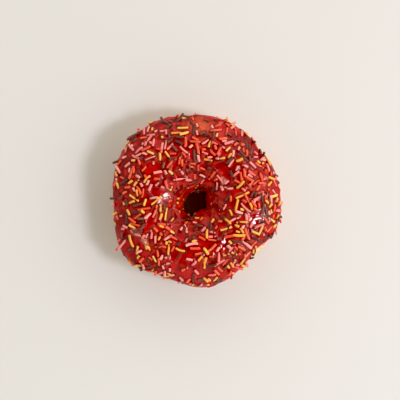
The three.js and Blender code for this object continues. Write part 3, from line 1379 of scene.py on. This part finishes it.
@dataclass
class Icing:
    """The coat of icing, which replaces its solid together with the strands.

    Sizes are in millimetres, and a width is how far from a place its effect fades.

    Attributes:
        form: Its form.
        finish: Its finish.
        strands: The strands that it holds.
        strand_radius: Of a strand.
        rows: Points over the section.
        rows_under: Points back under it.
        columns: Points round the ring.
        crowding: How much closer the rows are at the edges.
        seat: How far the underside sinks into the dough.
        swell: Height of the large unevenness.
        swell_size: Width of a swell.
        ripple: Height of the small unevenness.
        ripple_size: Width of a ripple.
        bead: Extra thickness beside an edge.
        bead_width: Of that bead.
        creep: How high the icing creeps up a strand.
        creep_width: How far from the strand it starts.
        creep_share: Share of that height that one strand alone brings.
        creep_power: Of the distance that the creep fades with.
        buried: Strands that lie under the icing.
        buried_half: Shortest and longest half length of a buried strand.
        ridge: How high it stands over them.
        ridge_width: Half the width of such a ridge.
        ridge_thinness: How far the dough shows through on a ridge.
        ridge_seed: Of the draws of the buried strands.
        bare_film: How far it thins to a film where the dough shows at its edge.
        film_width: Of that film.
        film_lift: Height of that film over the dough.
        bare_tint: How far the film takes the dough's colour.
        bare_tint_width: Of that colour.
        edge_thinness: How far the dough shows through along an edge.
        edge_thin_width: Of that edge.
        thin_patches: Where the dough shows through.
        smears: Where pink strands have melted.
        wet_patches: Where it lies smooth and shines more.
        wet_calm: How much of the unevenness is gone where it is wet.
        wet_ridge_calm: How much of the ridges is gone where it is wet.
        patch_sharpness: How sharp the edges of the smears and wet patches are.
        mounds: Where something under it raises it, by their strength.
    """

    form: CoatForm
    finish: IcingFinish
    strands: list[Strand]
    strand_radius: float
    rows: int = 172
    rows_under: int = 8
    columns: int = 540
    crowding: float = 0.25
    seat: float = 0.1
    swell: float = 0.2
    swell_size: float = 8
    ripple: float = 0.07
    ripple_size: float = 2.6
    bead: float = 0.18
    bead_width: float = 1.2
    creep: float = 0.45
    creep_width: float = 0.45
    creep_share: float = 0.8
    creep_power: float = 1.5
    buried: int = 260
    buried_half: tuple[float, float] = (1.2, 3)
    ridge: float = 0.5
    ridge_width: float = 0.75
    ridge_thinness: float = 0.3
    ridge_seed: int = 7301
    bare_film: float = 0.85
    film_width: float = 3
    film_lift: float = 0.12
    bare_tint: float = 1.4
    bare_tint_width: float = 1.1
    edge_thinness: float = 0.45
    edge_thin_width: float = 1.2
    thin_patches: tuple[Patch, ...] = (
        Patch(-0.5, 39.2, 4.2, 0.9),
        Patch(4.5, 38.8, 4, 0.8),
        Patch(27, -27, 5, 0.25),
    )
    smears: tuple[Patch, ...] = (
        Patch(14.3, 9.8, 1.5, 1),
        Patch(13.2, 11.6, 1.0, 0.8),
        Patch(-32.6, -16.2, 1.8, 1),
        Patch(-30.4, -17.4, 1.5, 0.9),
        Patch(-27.4, -20.6, 1.6, 0.9),
        Patch(-26.2, -22.4, 1.2, 0.8),
    )
    wet_patches: tuple[Patch, ...] = (
        Patch(30.5, -8.5, 5, 1),
        Patch(-17.8, 3.3, 4, 1),
        Patch(13.6, -21.5, 4, 1),
    )
    wet_calm: float = 0.7
    wet_ridge_calm: float = 0.5
    patch_sharpness: int = 4
    mounds: tuple[Patch, ...] = (Patch(12.2, -21.1, 1.9, 0.8),)

    def shares(self) -> Array:
        """Gives the rows' shares of the way over the coat, closer at the edges."""
        even = np.arange(self.rows + 1) / self.rows
        return even - self.crowding * np.sin(TAU * even) / TAU

    def build(self) -> bpy.types.Object:
        """Makes the coat as one closed skin, top and underside.

        Returns:
            The piece.
        """
        over = self.shares()
        under = np.linspace(1, 0, self.rows_under + 2)[1:-1]
        share = np.concatenate([over, under])[:, np.newaxis]
        turn = (np.arange(self.columns) / self.columns * TAU)[np.newaxis]
        share, turn = np.broadcast_arrays(share, turn)
        sweep = self.form.sweep(turn, share)
        edge = np.maximum(self.form.from_edge(turn, sweep), 0)
        climb = 1 - np.clip(edge / self.form.lip, 0, 1)
        full = self.form.clearance + self.form.thickness + self.seat
        lift = full * np.sqrt(1 - climb * climb) - self.seat
        even = self.form.ring.surface(turn, sweep, lift)
        bare = sum(place.share(turn) for place in BARE_EDGES)
        wet = self.patched(even, self.wet_patches)
        ridges = self.ridges(even) * (1 - self.wet_ridge_calm * wet)
        wetting = self.wetting(even)
        relief = self.unevenness(even, edge, wet) + self.creep * wetting + self.ridge * ridges
        lift = lift + smooth(edge / self.form.lip) * relief
        film = self.bare_film * bare * fade(edge, self.film_width)
        lift = mix(lift, np.minimum(lift, self.film_lift), film)
        lift[len(over) :] = -self.seat
        piece = make_piece(
            "icing_coat",
            self.form.ring.surface(turn, sweep, lift).reshape(-1, 3),
            closed_grid(*share.shape),
            self.finish.material(),
        )
        thinness = self.thinness(even, edge) + self.ridge_thinness * ridges
        tint = self.bare_tint * bare * fade(edge, self.bare_tint_width)
        mark(piece, "thin", np.clip(thinness, 0, 1))
        mark(piece, "smear", self.patched(even, self.smears))
        # The creep share also drives the darker red beside strands, which is partly pooling and
        # partly painted shade.
        mark(piece, "pool_and_shade", wetting)
        mark(piece, "bare", np.clip(tint, 0, 1))
        mark(piece, "wet", wet)
        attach(piece, "root")
        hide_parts("icing")
        return piece

    def patched(self, points: Array, patches: Sequence[Patch]) -> Array:
        """Gives how far points lie in any of some patches, from 0 to 1."""
        shares = sum(patch.share(points, self.patch_sharpness) for patch in patches)
        return np.clip(shares, 0, 1)

    def unevenness(self, points: Array, edge: Array, wet: Array) -> Array:
        """Gives how far the icing stands out by itself, without any strands.

        Args:
            points: The icing's points.
            edge: Their distance to the nearer edge.
            wet: How wet they are, from 0 to 1.

        Returns:
            The height at each point.
        """
        height = self.swell * crumple(points, self.swell_size, seed=1.3)
        height = height + self.ripple * crumple(points, self.ripple_size, seed=5.9)
        height = height + self.bead * fade(edge - self.form.lip, self.bead_width)
        mounds = sum(mound.share(points) for mound in self.mounds)
        return height * (1 - self.wet_calm * wet) + mounds

    def wetting(self, points: Array) -> Array:
        """Gives how far the icing creeps up the strands, from 0 to 1.

        Args:
            points: The icing's points.

        Returns:
            The share of the full height at each point.
        """
        flat = points.reshape(-1, 3)
        dry = np.ones(len(flat))
        reach = self.strand_radius + FADED * self.creep_width
        for strand in self.strands:
            low = strand.points.min(axis=0) - reach
            high = strand.points.max(axis=0) + reach
            near = np.nonzero(((flat > low) & (flat < high)).all(axis=1))[0]
            line = axis_points(strand.axis, np.linspace(0, 1, 2 * len(strand.points)))
            away = np.linalg.norm(flat[near, np.newaxis] - line, axis=2).min(axis=1)
            gap = np.maximum(away - self.strand_radius, 0) / self.creep_width
            dry[near] *= 1 - self.creep_share * np.exp(-(gap**self.creep_power))
        return (1 - dry).reshape(points.shape[:-1])

    def ridges(self, points: Array) -> Array:
        """Gives how far buried strands raise the icing, from 0 to 1.

        Args:
            points: The icing's points.

        Returns:
            The share of the full height at each point.
        """
        draw = Draw(self.ridge_seed)
        flat = points.reshape(-1, 3)
        raised = np.zeros(len(flat))
        for _ in range(self.buried):
            turn = np.float64(TAU * draw())
            sweep = self.form.sweep(turn, draw())
            middle = self.form.ring.surface(turn, sweep, self.form.top(turn, sweep))
            around, upward, _ = self.form.ring.directions(turn, sweep)
            angle = TAU * draw()
            along = around * math.cos(angle) + upward * math.sin(angle)
            half = draw.between(*self.buried_half)
            beside = flat - middle
            near = np.nonzero((np.abs(beside) < half + FADED * self.ridge_width).all(axis=1))[0]
            reach = np.clip(beside[near] @ along, -half, half)
            away = np.linalg.norm(beside[near] - reach[:, np.newaxis] * along, axis=1)
            raised[near] = np.maximum(raised[near], fade(away, self.ridge_width))
        return raised.reshape(points.shape[:-1])

    def thinness(self, points: Array, edge: Array) -> Array:
        """Gives how far the dough shows through: at patches and along the edges.

        Args:
            points: The icing's points.
            edge: Their distance to the nearer edge.

        Returns:
            From 0 to 1 at each point.
        """
        total = self.edge_thinness * np.exp(-edge / self.edge_thin_width)
        for patch in self.thin_patches:
            total = total + patch.share(points)
        return np.clip(total, 0, 1)


@dataclass(frozen=True)
class StrandMesh:
    """One strand's vertices, which are its rings' points and then its two tips.

    Attributes:
        points: The vertices.
        tone: From 0, its colour's palest tone, to 1 at each vertex.
        sunk: How far each vertex is sunk into the icing, from 0 to 1.
    """

    points: Array
    tone: Array
    sunk: Array


@dataclass
class SugarStrands:
    """All sugar strands, joined into one piece for each colour.

    Attributes:
        layout: Where they lie.
        strands: The strands in place.
        sides: Points round a strand.
        body_rings: Rings along a strand between its ends.
        end_insets: How far the rings of an end are from it, in millimetres.
        end_radii: Their radii, as shares of the radius.
        thickness: Thinnest and thickest strand, as shares of the radius.
        flatness: Least and most height of a strand, as shares of its width.
        lumpiness: Least and most radius of a ring, as shares of its strand's.
        skew: Most that an end is cut aslant, as a share of the radius.
        skew_reach: How far from the end that shows, in millimetres.
        wet_below: Height over the icing below which a strand is all wet.
        dry_above: Height over the icing above which it is dry.
        colour_seed: Of the draws of colour.
        shape_seed: Of the draws of shape.
    """

    layout: StrandLayout
    strands: list[Strand]
    sides: int = 12
    body_rings: int = 6
    end_insets: tuple[float, ...] = (0, 0.07, 0.18, 0.34)
    end_radii: tuple[float, ...] = (0.7, 0.88, 0.97, 1)
    thickness: tuple[float, float] = (0.84, 1.1)
    flatness: tuple[float, float] = (0.88, 1.0)
    lumpiness: tuple[float, float] = (0.94, 1.05)
    skew: float = 0.3
    skew_reach: float = 0.8
    wet_below: float = -0.1
    dry_above: float = 0.9
    colour_seed: int = 90211
    shape_seed: int = 53109

    def colours(self) -> list[Sugar]:
        """Draws a colour for each strand, with the clusters' tastes.

        Returns:
            The colours, in the order of the strands.
        """
        draw = Draw(self.colour_seed)
        chosen = []
        for number, strand in enumerate(self.strands):
            longness = 1 - 2 * number / len(self.strands)
            weights = []
            for sugar, finish in SUGAR_FINISHES.items():
                taste = sum(patch.share(strand.axis[1]) for patch in COLOUR_CLUSTERS[sugar])
                weights.append(finish.share * (1 + finish.long_taste * longness) * (1 + taste))
            drawn = draw() * sum(weights)
            chosen.append(list(Sugar)[int(np.searchsorted(np.cumsum(weights), drawn))])
        return chosen

    def build(self) -> list[bpy.types.Object]:
        """Makes the pieces, one for each colour.

        Returns:
            The pieces.
        """
        chosen = self.colours()
        draw = Draw(self.shape_seed)
        meshes = [self.one_strand(strand, draw) for strand in self.strands]
        skin = self.skin()
        pieces = []
        for sugar, finish in SUGAR_FINISHES.items():
            own = [mesh for mesh, colour in zip(meshes, chosen) if colour is sugar]
            faces = []
            for number, mesh in enumerate(own):
                start = number * len(mesh.points)
                faces += [[start + corner for corner in face] for face in skin]
            points = np.concatenate([mesh.points for mesh in own])
            piece = make_piece(f"strands_{sugar.value}", points, faces, finish.material())
            mark(piece, "tone", np.concatenate([mesh.tone for mesh in own]))
            mark(piece, "sunk", np.concatenate([mesh.sunk for mesh in own]))
            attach(piece, "root")
            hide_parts("icing")
            pieces.append(piece)
        return pieces

    def skin(self) -> list[list[int]]:
        """Gives the faces of one strand, which are the same for all.

        Returns:
            The faces, from ring to ring and then at the two tips.
        """
        rings = 2 * len(self.end_insets) + self.body_rings
        last = (rings - 1) * self.sides
        tip = rings * self.sides
        faces = []
        for low in range(0, last, self.sides):
            high = low + self.sides
            for side in range(self.sides):
                beside = (side + 1) % self.sides
                faces.append([low + side, high + side, high + beside, low + beside])
        for side in range(self.sides):
            beside = (side + 1) % self.sides
            faces.append([tip, side, beside])
            faces.append([tip + 1, last + beside, last + side])
        return faces

    def stations(self, length: float, draw: Draw) -> tuple[Array, Array]:
        """Gives the rings' places along a strand and their radii.

        Args:
            length: The strand's length.
            draw: The random numbers.

        Returns:
            Places as shares of the length, and radii as shares of the radius.
        """
        insets = np.array(self.end_insets) / length
        body = np.linspace(insets[-1], 1 - insets[-1], self.body_rings + 2)[1:-1]
        lumps = [draw.between(*self.lumpiness) for _ in body]
        places = np.concatenate([insets, body, 1 - insets[::-1]])
        return places, np.concatenate([self.end_radii, lumps, self.end_radii[::-1]])

    def one_strand(self, strand: Strand, draw: Draw) -> StrandMesh:
        """Makes one strand, slightly uneven, with blunt rounded ends.

        Args:
            strand: The strand in place.
            draw: The random numbers.

        Returns:
            Its mesh.
        """
        radius = self.layout.radius * draw.between(*self.thickness)
        flatness = draw.between(*self.flatness)
        tone = draw()
        skews = draw.between(-self.skew, self.skew), draw.between(-self.skew, self.skew)
        places, radii = self.stations(strand.length, draw)
        turn, sweep = self.layout.ring.coordinates(strand.axis[1])
        upright = self.layout.ring.directions(turn, sweep)[2]
        ahead = axis_points(strand.axis, places + STEP) - axis_points(strand.axis, places - STEP)
        along = unit(ahead)
        across = unit(np.cross(along, upright))
        out = np.cross(across, along)
        near_start = np.exp(-places * strand.length / self.skew_reach)
        near_end = np.exp(-(1 - places) * strand.length / self.skew_reach)
        slant = skews[0] * near_start + skews[1] * near_end
        sideways = across + along * slant[:, np.newaxis]
        angle = np.arange(self.sides) / self.sides * TAU
        width = radii[:, np.newaxis] * np.cos(angle) * radius
        height = radii[:, np.newaxis] * np.sin(angle) * radius * flatness
        middle = axis_points(strand.axis, places)
        rings = (
            middle[:, np.newaxis]
            + sideways[:, np.newaxis] * width[..., np.newaxis]
            + out[:, np.newaxis] * height[..., np.newaxis]
        )
        points = np.concatenate([rings.reshape(-1, 3), middle[[0, -1]]])
        return StrandMesh(points, np.full(len(points), tone), self.sunk(points, upright))

    def sunk(self, points: Array, upright: Array) -> Array:
        """Gives how far a strand's points are sunk into the icing.

        Args:
            points: The points.
            upright: The direction out of the icing at the strand's middle.

        Returns:
            From 0, where they are dry, to 1.
        """
        turn, sweep = self.layout.ring.coordinates(points)
        ground = self.layout.ring.surface(turn, sweep, self.layout.coat.top(turn, sweep))
        height = ((points - ground) * upright).sum(axis=1)
        return 1 - np.clip((height - self.wet_below) / (self.dry_above - self.wet_below), 0, 1)


# ---- Studio ----


@dataclass(frozen=True)
class KeyLight:
    """The key light, a soft square panel on the right.

    Attributes:
        turn: Where it stands, in degrees.
        tilt: Its angle from upright, in degrees.
        distance: Its distance, in metres.
        size: Its side, in metres.
        power: Its power, in watts.
        colour: Of its light.
    """

    turn: float = -15
    tilt: float = 39
    distance: float = 1.6
    size: float = 0.3
    power: float = 10.7
    colour: Colour = (0.9, 0.89, 1.0, 1.0)

    def hang(self) -> bpy.types.Object:
        """Hangs the light.

        Returns:
            The light.
        """
        data = bpy.data.lights.new("key", "AREA")
        data.shape = "SQUARE"
        data.size = self.size
        data.energy = self.power
        data.color = self.colour[:3]
        turn = math.radians(self.turn)
        tilt = math.radians(self.tilt)
        towards = Vector(
            (math.sin(tilt) * math.cos(turn), math.sin(tilt) * math.sin(turn), math.cos(tilt))
        )
        light = bpy.data.objects.new("key", data)
        light.location = towards * self.distance
        light.rotation_euler = towards.to_track_quat("Z", "Y").to_euler()
        bpy.context.scene.collection.objects.link(light)
        return light


@dataclass(frozen=True)
class RoomLight:
    """The soft light of the room, more from the sides than from above.

    Attributes:
        colour: Of the light.
        low: Its strength from the sides.
        high: Its strength from above.
        fades: Heights on the room's dome between which it goes from low to high.
        turn: Where most of it comes from, in degrees.
        lean: How much more comes from there than from a side on average.
    """

    colour: Colour = (1.0, 0.96, 0.83, 1.0)
    low: float = 1.3
    high: float = 0.03
    fades: tuple[float, float] = (0.57, 0.96)
    turn: float = 30
    lean: float = 0.48

    def fill(self) -> None:
        """Fills the room with it."""
        world = bpy.data.worlds.new("room")
        world.use_nodes = True
        bench = Bench(world.node_tree)
        towards = bench.node("ShaderNodeTexCoord").outputs["Generated"]
        split = bench.node("ShaderNodeSeparateXYZ")
        bench.feed(split.inputs["Vector"], towards)
        height = bench.spread(split.outputs["Z"], *self.fades, self.low, self.high)
        turn = math.radians(self.turn)
        lean = bench.node("ShaderNodeVectorMath", operation="DOT_PRODUCT")
        bench.feed(lean.inputs[0], towards)
        bench.feed(lean.inputs[1], (math.cos(turn), math.sin(turn), 0))
        side = bench.reckon("MULTIPLY_ADD", lean.outputs["Value"], self.lean, 1)
        background = bench.tree.nodes["Background"]
        bench.feed(background.inputs["Color"], self.colour)
        bench.feed(background.inputs["Strength"], bench.reckon("MULTIPLY", side, height))
        bpy.context.scene.world = world


@dataclass(frozen=True)
class Studio:
    """The floor, the camera and the lights.

    Attributes:
        key: The key light.
        room: The light of the room.
        floor_colour: Of the floor.
        floor_roughness: Of the floor.
        floor_size: Its side, in metres.
        film_width: Of the camera's film, in millimetres.
        view_width: Width of the view at the waist, in metres.
        view_height: From the waist up to the camera, in metres.
        view_middle: What the view is centred on, in metres.
        view_level: Height of the waist, in metres.
        film_black: The light that the film shows as black.
    """

    key: KeyLight = KeyLight()
    room: RoomLight = RoomLight()
    floor_colour: Colour = paint(229, 227, 226)
    floor_roughness: float = 0.55
    floor_size: float = 3.0
    film_width: float = 36
    view_width: float = 0.214
    view_height: float = 0.55
    view_middle: tuple[float, float] = (0.0016, 0.0003)
    view_level: float = 0.0142
    film_black: float = 0.01

    def floor(self) -> bpy.types.Object:
        """Lays a plain pale floor.

        Returns:
            The floor.
        """
        recipe = Recipe("pale_floor")
        recipe.fixed(Base_Color=self.floor_colour, Roughness=self.floor_roughness)
        half = self.floor_size / MM / 2
        corners = np.array([[-half, -half, 0], [half, -half, 0], [half, half, 0], [-half, half, 0]])
        floor = make_piece("floor", corners, [[0, 1, 2, 3]], recipe.material)
        return floor

    def camera(self) -> bpy.types.Object:
        """Sets the camera up, looking straight down.

        Returns:
            The camera.
        """
        data = bpy.data.cameras.new("camera")
        data.sensor_width = self.film_width
        data.lens = self.film_width * self.view_height / self.view_width
        camera = bpy.data.objects.new("camera", data)
        camera.location = (*self.view_middle, self.view_level + self.view_height)
        bpy.context.scene.collection.objects.link(camera)
        bpy.context.scene.camera = camera
        return camera

    def film(self) -> None:
        """Gives the film its deep blacks."""
        film = bpy.context.scene.view_settings
        film.view_transform = "Standard"
        film.use_curve_mapping = True
        film.curve_mapping.black_level = (self.film_black,) * 3
        film.curve_mapping.update()

    def build(self) -> None:
        """Sets everything up."""
        self.floor()
        self.camera()
        self.key.hang()
        self.room.fill()
        self.film()


def report(pieces: Sequence[bpy.types.Object]) -> None:
    """Logs each piece with its faces."""
    for piece in pieces:
        LOG.info("%s: %d faces", piece.name, len(piece.data.polygons))


def main() -> None:
    """Builds the doughnut piece by piece, and the studio round it."""
    logging.basicConfig(level=logging.INFO, format="%(name)s: %(message)s")
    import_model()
    ring = RingForm()
    coat = CoatForm(ring)
    layout = StrandLayout(ring, coat)
    strands = layout.lay()
    LOG.info("%d strands laid", len(strands))
    report([DoughRing(ring, DoughFinish()).build()])
    report([Icing(coat, IcingFinish(), strands, layout.radius).build()])
    report(SugarStrands(layout, strands).build())
    Studio().build()


if __name__ == "__main__":
    main()
